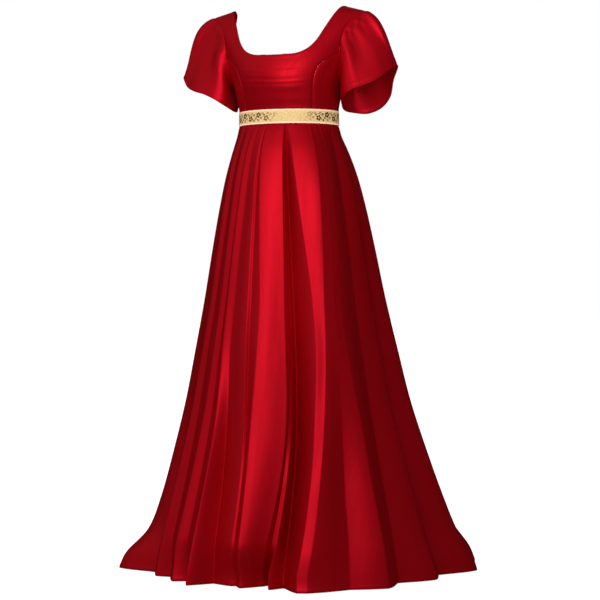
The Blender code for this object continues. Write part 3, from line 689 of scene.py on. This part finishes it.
def torso_patch(stations, shift, creases, seams, turned):
    """Points, normals and flat places of a stretch of the bodice.

    seams and turned are the lines of stations that are sewn down or turned under.
    """
    points, normals = torso_point(*stations.T), torso_normal(*stations.T)
    points, normals = points.transpose(1, 0, 2), normals.transpose(1, 0, 2)
    relief = crease_relief(points[..., 0], points[..., 2] + SHOULDER_HEIGHT, creases)
    for line in seams:
        relief += sewn_edge(away_from(points, torso_point(*line.T)))
    for line in turned:
        relief += turned_edge(away_from(points, torso_point(*line.T)))
    moved = points + normals * relief[..., None] + np.array(shift)
    return moved, normals, flat_chart(points)


def make_front(material):
    """Centre front with both straps, cut in one: its halves are welded down the middle."""
    seam = princess_stations() - (gap_angle(SEAM_GAP / 2), 0)
    strap, _, _ = armhole_stations()
    low = float(row_at(TORSO, HEIGHT, BAND_TOP))
    neckline = edge_stations(FRONT_NECKLINE, STRAP_ROWS)
    inner_edge = np.concatenate((straight((0.0, low), neckline[0], SEAM_ROWS), neckline[1:]))
    outer_edge = np.concatenate((seam, strap[::-1][1:]))
    half = ruled_grid(inner_edge, outer_edge, FRONT_COLUMNS, neck=SEAM_ROWS)
    patches = [torso_patch(half * (side, 1), (0, -SEAM_GAP / 2, 0), FRONT_CREASES,
                           [outer_edge * (side, 1)], [neckline * (side, 1)])
               for side in (1, -1)]
    return add_shell("bodice_front_cloth", patches, material)


def make_side_front(side, label, material):
    """Side front, between the princess seam and the side seam."""
    seam = princess_stations() + (gap_angle(SEAM_GAP / 2), 0)
    _, lower, _ = armhole_stations()
    grid = ruled_grid(seam, side_stations(), SIDE_COLUMNS,
                      top=np.concatenate((seam[-1:], lower[1:])))
    patch = torso_patch(grid * (side, 1), (0, -SEAM_GAP / 2, 0), FRONT_CREASES,
                        [seam * (side, 1), side_stations() * (side, 1), lower * (side, 1)], [])
    return add_shell(f"bodice_side_front_{label}_cloth", [patch], material)


def make_back(side, label, material):
    """Half of the back, from the centre back seam to the side seam and the armhole."""
    _, _, armhole = armhole_stations()
    neckline = edge_stations(BACK_NECKLINE, STRAP_ROWS, back=True)
    low = float(row_at(TORSO, HEIGHT, BAND_TOP))
    centre = straight((180.0, low), neckline[0], SEAM_ROWS)
    outer_edge = np.concatenate((side_stations(), armhole[1:]))
    inner_edge = np.concatenate((centre, neckline[1:]))
    grid = ruled_grid(inner_edge, outer_edge, BACK_COLUMNS, neck=SEAM_ROWS)
    patch = torso_patch(grid * (side, 1), (side * SEAM_GAP / 2, SEAM_GAP / 2, 0), BACK_CREASES,
                        [outer_edge * (side, 1), centre * (side, 1)], [neckline * (side, 1)])
    return add_shell(f"bodice_back_{label}_cloth", [patch], material)


def make_band(material):
    """Waist band of brocade ribbon, with a fine rib along each edge."""
    rows = row_at(TORSO, HEIGHT, np.linspace(BAND_BOTTOM + SEAM_GAP, BAND_TOP - SEAM_GAP,
                                             BAND_ROWS + 1))
    angles = np.linspace(0, 360, BAND_STEPS + 1)
    angle, row = np.meshgrid(angles, rows)
    points, normals = torso_point(angle, row), torso_normal(angle, row)
    height = points[..., 2] + SHOULDER_HEIGHT
    edge = np.minimum(height - BAND_BOTTOM, BAND_TOP - height)
    relief = BAND_WALL - BODICE_WALL + BAND_SWELL * smooth_step(0.0, BAND_EDGE, edge)
    moved = points + normals * relief[..., None]
    chart = np.stack((running_lengths(points, 1), height - BAND_BOTTOM), axis=-1)
    return add_shell("waist_band_ribbon", [(moved, normals, chart)], material,
                     thickness=BAND_CLOTH)


def make_sleeve(hem_table, head, side, label, draw, material):
    """Flutter sleeve, gathered at its head and sewn to the armhole."""
    surface, outward, aside = sleeve_maker(hem_table, head)
    around, share = np.meshgrid(np.linspace(0, 360, SLEEVE_COLUMNS + 1),
                                np.linspace(0, 1, SLEEVE_ROWS + 1))
    points, normals = surface(around, share), outward(around, share)
    down = running_lengths(points, 0)
    from_top = (around + 180.0) % 360.0 - 180.0
    relief = gather_relief(from_top, down, scatter_gathers(*draw))
    relief += sewn_edge(down) + turned_edge(down[-1:] - down)
    moved = points + normals * relief[..., None]
    # The seam allowance lies inside, under the bodice's edge
    tucks = [moved[:1] - aside(around[0])[None] * far - normals[:1] * low
             for far, low in SEAM_ALLOWANCE]
    moved, normals = np.concatenate(tucks + [moved]), np.concatenate([normals[:1]] * 2 + [normals])
    mirror = (side, 1, 1)
    patch = (moved * mirror, normals * mirror, flat_chart(moved))
    return add_shell(f"sleeve_{label}_cloth", [patch], material)


def make_skirt_panel(name, first, last, shift, material):
    """Panel of the skirt between two of its folds' edges, gathered to the band."""
    steps = (1 - np.cos(np.pi * np.arange(SKIRT_STEPS) / SKIRT_STEPS)) / 2
    flanks = np.append((np.arange(first, last)[:, None] + steps).ravel(), last)
    flank, row = np.meshgrid(flanks, skirt_rows())
    points = skirt_point(flank, row)
    normals = -surface_normal(skirt_point, flank, row, *SKIRT_PROBE)
    angle, _, _ = skirt_place(flank, row)
    down = running_lengths(points, 0)
    across = running_lengths(points, 1)
    relief = gather_relief((angle + 90.0) % 360.0 - 90.0, down, scatter_gathers(*SKIRT_DRAW))
    relief += sewn_edge(down) + sewn_edge(across) + sewn_edge(across[:, -1:] - across)
    relief += turned_edge(down[-1:] - down)
    moved = points + normals * relief[..., None] + np.array(shift)
    moved[..., 2] = np.maximum(moved[..., 2], FLOOR + CLOTH)
    return add_shell(name, [(moved, normals, flat_chart(points))], material)


def skirt_rows():
    """Rows of the fine skirt, evenly spaced down the cloth and closer at the hem."""
    share = np.linspace(0, 1, SKIRT_ROWS + 1)
    heights = BAND_BOTTOM - SEAM_GAP - (BAND_BOTTOM - SEAM_GAP - SKIRT[-1][HEIGHT]) * share
    even = row_at(SKIRT, HEIGHT, heights)
    return even * (1 - HEM_FINENESS) + share * HEM_ROW * HEM_FINENESS


def wire(tree, kind, inputs=None, **settings):
    """Adds a shader node. An input is a value, or the output socket that feeds it."""
    node = tree.nodes.new("ShaderNode" + kind)
    for key, value in settings.items():
        setattr(node, key, value)
    for key, value in (inputs or {}).items():
        if isinstance(value, bpy.types.NodeSocket):
            tree.links.new(value, node.inputs[key])
        else:
            node.inputs[key].default_value = value
    return node


def new_material(name, **shader_values):
    material = bpy.data.materials.new(name)
    material.use_nodes = True
    shader = material.node_tree.nodes["Principled BSDF"]
    for key, value in shader_values.items():
        shader.inputs[key.replace("_", " ")].default_value = value
    return material, material.node_tree, shader


def noise(tree, place, scale, detail=2.0, roughness=0.5):
    """Noise stretched by scale, in waves per metre along each axis."""
    stretched = wire(tree, "Mapping", {"Vector": place, "Scale": scale})
    return wire(tree, "TexNoise", {"Vector": stretched.outputs[0], "Scale": 1.0, "Detail": detail,
                                   "Roughness": roughness}).outputs["Fac"]


def mapped(tree, value, low, high, to_low, to_high):
    return wire(tree, "MapRange", {"Value": value, "From Min": low, "From Max": high,
                                   "To Min": to_low, "To Max": to_high}).outputs[0]


def bump(tree, height, size, normal=None):
    """Normal of a relief of this strength and depth, laid on another relief's normal."""
    strength, depth = size
    inputs = {"Height": height, "Strength": strength, "Distance": depth}
    if normal:
        inputs["Normal"] = normal
    return wire(tree, "Bump", inputs).outputs[0]


def satin(name):
    """Red satin: long soft streaks along the warp, a fine weave and an uneven gloss."""
    material, tree, shader = new_material(
        name, Metallic=SATIN_METALLIC, Specular_IOR_Level=SATIN_SPECULAR,
        Specular_Tint=SATIN_TINT)
    flat = wire(tree, "UVMap", uv_map="flat").outputs[0]
    place = wire(tree, "TexCoord").outputs["Object"]
    tone = noise(tree, place, TONE_WAVES, detail=3.0)
    streak = noise(tree, flat, STREAK_WAVES, detail=3.0, roughness=0.6)
    ruck = noise(tree, place, RUCK_WAVES, detail=4.0)
    thread = noise(tree, flat, WEAVE_WAVES, detail=1.0)
    colour = wire(tree, "Mix", {"Factor": tone, "A": SATIN_DEEP, "B": SATIN_BRIGHT},
                  data_type="RGBA")
    tree.links.new(colour.outputs["Result"], shader.inputs["Base Color"])
    gloss = mapped(tree, streak, *STREAK_RANGE, *SATIN_ROUGHNESS)
    tree.links.new(gloss, shader.inputs["Roughness"])
    weave = bump(tree, thread, WEAVE_RELIEF)
    rucks = bump(tree, ruck, RUCK_RELIEF, weave)
    streaks = bump(tree, streak, STREAK_RELIEF, rucks)
    tree.links.new(streaks, shader.inputs["Normal"])
    return material


def calc(tree, operation, *values):
    """A sum on shader sockets or plain numbers."""
    node = tree.nodes.new("ShaderNodeMath")
    node.operation = operation
    for socket, value in zip(node.inputs, values):
        if isinstance(value, bpy.types.NodeSocket):
            tree.links.new(value, socket)
        else:
            socket.default_value = value
    return node.outputs[0]


def soft_inside(tree, distance, edge):
    """1 where a signed distance is below zero and 0 outside, with a soft edge."""
    return mapped(tree, distance, -edge, edge, 1.0, 0.0)


def turned_place(tree, along, up, centre, degrees):
    """Coordinates from a motif's own centre, turned by some degrees."""
    x, y = calc(tree, "SUBTRACT", along, centre[0]), calc(tree, "SUBTRACT", up, centre[1])
    cos, sin = math.cos(math.radians(degrees)), math.sin(math.radians(degrees))
    across = calc(tree, "ADD", calc(tree, "MULTIPLY", x, cos), calc(tree, "MULTIPLY", y, sin))
    over = calc(tree, "SUBTRACT", calc(tree, "MULTIPLY", y, cos), calc(tree, "MULTIPLY", x, sin))
    return across, over


def flower(tree, along, up, centre, size, petals):
    """A plain flower of round petals with a dark eye."""
    x, y = turned_place(tree, along, up, centre, 0.0)
    away = calc(tree, "SQRT", calc(tree, "ADD", calc(tree, "MULTIPLY", x, x),
                                   calc(tree, "MULTIPLY", y, y)))
    wave = calc(tree, "COSINE", calc(tree, "MULTIPLY", calc(tree, "ARCTAN2", y, x), petals))
    rim = calc(tree, "MULTIPLY_ADD", calc(tree, "ABSOLUTE", wave), size * FLOWER_PETAL,
               size * FLOWER_MIDDLE)
    petal = soft_inside(tree, calc(tree, "SUBTRACT", away, rim), MOTIF_EDGE)
    eye = soft_inside(tree, calc(tree, "SUBTRACT", away, size * FLOWER_EYE), MOTIF_EDGE)
    return calc(tree, "SUBTRACT", petal, eye)


def leaf(tree, along, up, centre, length, degrees):
    """A pointed leaf with a vein."""
    x, y = turned_place(tree, along, up, centre, degrees)
    share = calc(tree, "DIVIDE", x, length / 2)
    rim = calc(tree, "MULTIPLY", calc(tree, "SUBTRACT", 1.0, calc(tree, "MULTIPLY", share, share)),
               length * LEAF_WIDTH)
    blade = soft_inside(tree, calc(tree, "SUBTRACT", calc(tree, "ABSOLUTE", y), rim), MOTIF_EDGE)
    vein = soft_inside(tree, calc(tree, "SUBTRACT", calc(tree, "ABSOLUTE", y), VEIN), MOTIF_EDGE)
    return calc(tree, "MULTIPLY", blade, calc(tree, "SUBTRACT", 1.0, vein))


def brocade(name):
    """Gold ribbon woven with a plain running pattern of flowers and leaves, and fine edges."""
    material, tree, shader = new_material(name, Specular_IOR_Level=RIBBON_SPECULAR)
    flat = wire(tree, "UVMap", uv_map="flat").outputs[0]
    parts = wire(tree, "SeparateXYZ", {"Vector": flat})
    along, up = parts.outputs["X"], parts.outputs["Y"]
    cell = calc(tree, "MULTIPLY", calc(tree, "FRACT", calc(tree, "DIVIDE", along, REPEAT)), REPEAT)
    motif = 0.0
    for centre, size, petals in BAND_FLOWERS:
        motif = calc(tree, "MAXIMUM", motif, flower(tree, cell, up, centre, size, petals))
    for centre, length, degrees in BAND_LEAVES:
        motif = calc(tree, "MAXIMUM", motif, leaf(tree, cell, up, centre, length, degrees))
    middle = (BAND_TOP - BAND_BOTTOM) / 2
    wave = calc(tree, "SINE", calc(tree, "MULTIPLY", along, math.tau / REPEAT))
    stem = calc(tree, "ABSOLUTE", calc(tree, "SUBTRACT", calc(tree, "SUBTRACT", up, middle),
                                       calc(tree, "MULTIPLY", wave, STEM_SWING)))
    motif = calc(tree, "MAXIMUM", motif,
                 soft_inside(tree, calc(tree, "SUBTRACT", stem, VEIN), MOTIF_EDGE))
    from_edge = calc(tree, "SUBTRACT", middle,
                     calc(tree, "ABSOLUTE", calc(tree, "SUBTRACT", up, middle)))
    edge = soft_inside(tree, calc(tree, "SUBTRACT", from_edge, RIBBON_EDGE), MOTIF_EDGE)
    motif = calc(tree, "MULTIPLY", motif, calc(tree, "SUBTRACT", 1.0, edge))
    fleck = noise(tree, flat, FLECK_WAVES)
    fade = noise(tree, flat, WORN_WAVES)
    ground = wire(tree, "Mix", {"Factor": mapped(tree, fleck, *FLECK_RANGE, 0.0, 1.0),
                                "A": GOLD_DEEP, "B": GOLD}, data_type="RGBA").outputs["Result"]
    # Painted glare: the pattern fades round the band's front, where a highlight washes it out
    aside = calc(tree, "MINIMUM", calc(tree, "ABSOLUTE", calc(tree, "SUBTRACT", along, GLARE_FADE_AT)),
                 calc(tree, "ABSOLUTE", calc(tree, "SUBTRACT", along, GLARE_FADE_AT + BAND_LENGTH)))
    motif = calc(tree, "MULTIPLY", motif, mapped(tree, aside, *GLARE_FADE_REACH, GLARE_FADE_LEAVES, 1.0))
    worn = calc(tree, "MULTIPLY", motif, mapped(tree, fade, *WORN_RANGE, WORN_LEAVES, 1.0))
    woven = wire(tree, "Mix", {"Factor": worn, "A": ground, "B": BROCADE_BROWN},
                 data_type="RGBA").outputs["Result"]
    colour = wire(tree, "Mix", {"Factor": edge, "A": woven, "B": RIBBON_PEACH},
                  data_type="RGBA").outputs["Result"]
    tree.links.new(colour, shader.inputs["Base Color"])
    tree.links.new(mapped(tree, motif, 0.0, 1.0, *RIBBON_ROUGHNESS), shader.inputs["Roughness"])
    tree.links.new(mapped(tree, motif, 0.0, 1.0, *RIBBON_METALLIC), shader.inputs["Metallic"])
    thread = noise(tree, flat, RIBBON_WEAVE_WAVES, detail=1.0)
    raised = calc(tree, "ADD", calc(tree, "MULTIPLY", thread, WEAVE_SHARE),
                  calc(tree, "ADD", motif, edge))
    tree.links.new(bump(tree, raised, RIBBON_RELIEF), shader.inputs["Normal"])
    return material


def make_camera():
    """Camera at the photograph's angle, level and looking at the gown."""
    turn = math.radians(CAMERA_AZIMUTH)
    camera = bpy.data.objects.new("camera", bpy.data.cameras.new("camera"))
    bpy.context.scene.collection.objects.link(camera)
    camera.data.lens, camera.data.sensor_width = LENS, SENSOR
    right = Vector((math.cos(turn), math.sin(turn), 0))
    back = Vector((math.sin(turn), -math.cos(turn), 0))
    camera.location = back * CAMERA_DISTANCE + right * CAMERA_ASIDE
    camera.location.z = FLOOR + CAMERA_HEIGHT
    camera.rotation_euler = (math.radians(90), 0, turn)
    bpy.context.scene.camera = camera


def add_sun(name, azimuth, elevation, width, strength):
    """A far soft light: azimuth 0 shines on the front, 90 from the wearer's left."""
    light = bpy.data.lights.new(name, "SUN")
    light.energy, light.angle = strength, math.radians(width)
    lamp = bpy.data.objects.new(name, light)
    bpy.context.scene.collection.objects.link(lamp)
    lamp.rotation_euler = (math.radians(90 - elevation), 0, math.radians(azimuth))


def add_disc(name, azimuth, distance, height, width, power):
    """A near soft disc that faces the gown, at a height above the floor."""
    light = bpy.data.lights.new(name, "AREA")
    light.shape, light.size, light.energy = "DISK", width, power
    lamp = bpy.data.objects.new(name, light)
    bpy.context.scene.collection.objects.link(lamp)
    turn = math.radians(azimuth)
    lamp.location = (distance * math.sin(turn), -distance * math.cos(turn), FLOOR + height)
    lamp.rotation_euler = (math.radians(90), 0, turn)
    lamp.visible_camera = False


def make_studio():
    """Plain white surroundings, a pale floor and soft lights."""
    world = bpy.data.worlds.new("studio")
    bpy.context.scene.world = world
    world.use_nodes = True
    world.node_tree.nodes["Background"].inputs["Color"].default_value = WHITE
    world.cycles_visibility.diffuse = world.cycles_visibility.glossy = False
    for disc in DISCS:
        add_disc(*disc)
    for lamp in SUNS:
        add_sun(*lamp)
    mesh = bpy.data.meshes.new("floor")
    far = FLOOR_REACH
    mesh.from_pydata([(-far, -far, FLOOR), (far, -far, FLOOR), (far, far, FLOOR),
                      (-far, far, FLOOR)], [], [(0, 1, 2, 3)])
    material, _, _ = new_material("floor", Roughness=FLOOR_ROUGHNESS,
                                  Specular_IOR_Level=FLOOR_SPECULAR, Base_Color=FLOOR_GREY,
                                  Emission_Color=WHITE, Emission_Strength=FLOOR_GLOW)
    mesh.materials.append(material)
    floor = bpy.data.objects.new("floor", mesh)
    bpy.context.scene.collection.objects.link(floor)
    floor.visible_glossy = False
    bpy.context.scene.view_settings.view_transform = "Standard"


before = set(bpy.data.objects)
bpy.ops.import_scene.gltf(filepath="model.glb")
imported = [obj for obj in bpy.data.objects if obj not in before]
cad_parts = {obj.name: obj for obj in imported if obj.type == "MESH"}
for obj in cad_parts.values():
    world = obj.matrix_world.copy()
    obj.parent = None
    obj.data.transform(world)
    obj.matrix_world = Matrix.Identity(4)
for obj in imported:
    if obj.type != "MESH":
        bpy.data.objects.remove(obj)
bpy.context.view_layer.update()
red = satin("red_satin")
gold = brocade("gold_brocade")
make_camera()
make_studio()
pieces = [make_front(red)]
for side, label in ((1, "left"), (-1, "right")):
    pieces += [make_side_front(side, label, red), make_back(side, label, red)]
pieces.append(make_sleeve(LEFT_SLEEVE_HEM, LEFT_HEAD, 1, "left", LEFT_SLEEVE_DRAW, red))
pieces.append(make_sleeve(RIGHT_SLEEVE_HEM, RIGHT_HEAD, -1, "right", RIGHT_SLEEVE_DRAW, red))
pieces.append(make_band(gold))
turn, half_gap = len(FLANKS), SEAM_GAP / 2
pieces.append(make_skirt_panel("skirt_front_cloth", RIGHT_SEAM - turn, LEFT_SEAM,
                               (0, -half_gap, 0), red))
pieces.append(make_skirt_panel("skirt_back_left_cloth", LEFT_SEAM, BACK_SEAM,
                               (half_gap, half_gap, 0), red))
pieces.append(make_skirt_panel("skirt_back_right_cloth", BACK_SEAM, RIGHT_SEAM,
                               (-half_gap, half_gap, 0), red))
for piece in pieces:
    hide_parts(piece.name.replace("_cloth", "").replace("_ribbon", ""))
